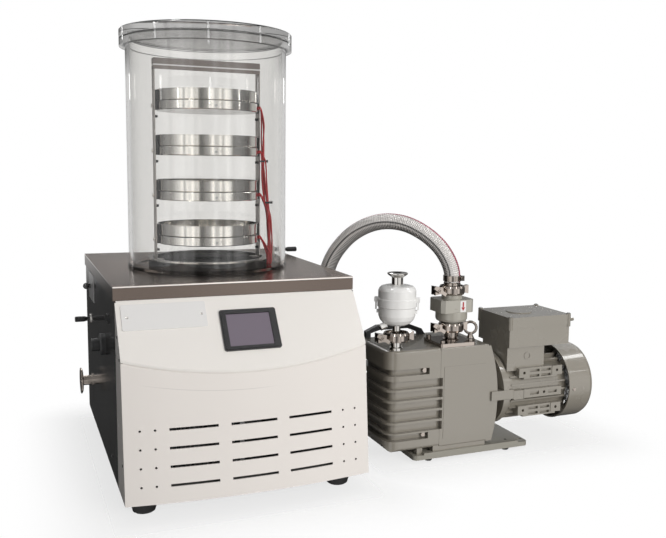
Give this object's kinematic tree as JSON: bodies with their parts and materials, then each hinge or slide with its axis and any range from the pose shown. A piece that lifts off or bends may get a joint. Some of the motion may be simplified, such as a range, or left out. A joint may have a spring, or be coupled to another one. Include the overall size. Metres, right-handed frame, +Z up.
{
  "type": "freeze dryer",
  "caption": "Benchtop freeze dryer: console with cold trap, clear drying chamber with heated shelves and trays, and a vane pump on a steel-wire hose.",
  "frame": {"origin": "middle of the object's box, on the floor it stands on", "axes": "+X along the console's front from the side fittings to the pump, +Y from the front to the back, +Z up"},
  "size_m": [1.021, 0.626, 0.836],
  "materials": {
    "steel_brushed": "brushed",
    "white_paint": "satin",
    "dark_gloss": "gloss",
    "chassis_steel": "satin",
    "black_rubber": "matte",
    "black_plastic": "satin",
    "display_glass": "gloss",
    "badge": "gloss",
    "steel_bright": "polished",
    "black_gloss": "gloss",
    "acrylic": "polished",
    "copper": "satin",
    "red_wire": "satin",
    "black_paint": "satin",
    "aluminium_fins": "satin",
    "hose_pvc": "gloss",
    "pump_paint": "satin",
    "cast_iron": "machined",
    "machined_steel": "machined",
    "white_plastic": "gloss"
  },
  "bodies": {
    "machine": {"top_plate": "steel_brushed", "fascia": "white_paint", "grille_panel": "white_paint", "left_side_panel": "dark_gloss", "right_side_panel": "dark_gloss", "back_panel": "dark_gloss", "base_pan": "chassis_steel", "console_feet": "black_rubber", "screen_bezel": "black_plastic", "screen_glass": "display_glass", "badge_plate": "badge", "badge_rivets": "steel_bright", "power_switch_body": "black_plastic", "round_connector": "black_plastic", "vacuum_port": "steel_bright", "drain_valve_body": "steel_bright", "vent_valve_body": "steel_bright", "side_knob": "black_gloss", "power_inlet": "black_plastic", "chamber_seals": "black_rubber", "chamber_tube": "acrylic", "chamber_lid": "acrylic", "pot_collar": "black_rubber", "condenser_pot": "steel_bright", "evaporator_coil": "copper", "baffle_disc": "black_gloss", "rack_frame": "steel_brushed", "heated_shelves": "steel_bright", "trays": "steel_bright", "wire_harness": "red_wire", "compressor": "black_paint", "condenser_coil": "aluminium_fins", "fan_shroud": "black_plastic", "hose_port": "steel_bright", "vacuum_hose": "hose_pvc", "hose_adapter": "steel_bright", "hose_clips": "steel_bright", "pump_base": "pump_paint", "pump_feet": "black_rubber", "oil_case": "pump_paint", "pump_screws": "steel_bright", "pump_stage": "cast_iron", "motor_body": "pump_paint", "fan_cowl": "pump_paint", "terminal_box": "pump_paint", "inlet_flange": "steel_bright", "inlet_trap": "pump_paint", "kf_clamps": "steel_bright", "exhaust_filter_bowl": "white_plastic", "exhaust_filter_cap": "white_plastic", "lifting_eye": "steel_bright", "carrying_handle": "black_plastic"},
    "drain_valve_handle": {"drain_valve_handle": "black_plastic"},
    "vent_valve_handle": {"vent_valve_handle": "black_plastic"},
    "switch_rocker": {"power_switch_rocker": "black_gloss"},
    "condenser_fan": {"cooling_fan": "black_plastic"},
    "drive_line": {"pump_rotor": "machined_steel", "motor_rotor": "machined_steel"},
    "filter_clip_left": {"filter_clip_left": "white_plastic"},
    "filter_clip_right": {"filter_clip_right": "white_plastic"}
  },
  "joints": [
    {"name": "drain_valve_turn", "type": "hinge", "parent": "machine", "child": "drain_valve_handle", "pos_m": [-0.4945, 0.229, 0.248], "axis": [1, 0, 0], "range_deg": [0, 90]},
    {"name": "vent_valve_turn", "type": "hinge", "parent": "machine", "child": "vent_valve_handle", "pos_m": [-0.0345, 0.207, 0.3885], "axis": [1, 0, 0], "range_deg": [0, 90]},
    {"name": "power_switch_tilt", "type": "hinge", "parent": "machine", "child": "switch_rocker", "pos_m": [-0.4785, -0.111, 0.31], "axis": [0, 0, 1], "range_deg": [-16, 0]},
    {"name": "condenser_fan_spin", "type": "hinge", "parent": "machine", "child": "condenser_fan", "pos_m": [-0.3655, -0.213, 0.124], "axis": [0, 1, 0], "continuous": true},
    {"name": "pump_shaft_spin", "type": "hinge", "parent": "machine", "child": "drive_line", "pos_m": [0.2755, -0.138, 0.121], "axis": [1, 0, 0], "continuous": true},
    {"name": "filter_clip_left_swing", "type": "hinge", "parent": "machine", "child": "filter_clip_left", "pos_m": [0.01534, -0.17151, 0.329], "axis": [0.4848, 0.8746, 0], "range_deg": [0, 60]},
    {"name": "filter_clip_right_swing", "type": "hinge", "parent": "machine", "child": "filter_clip_right", "pos_m": [0.08566, -0.21049, 0.329], "axis": [-0.4848, -0.8746, 0], "range_deg": [0, 60]}
  ]
}
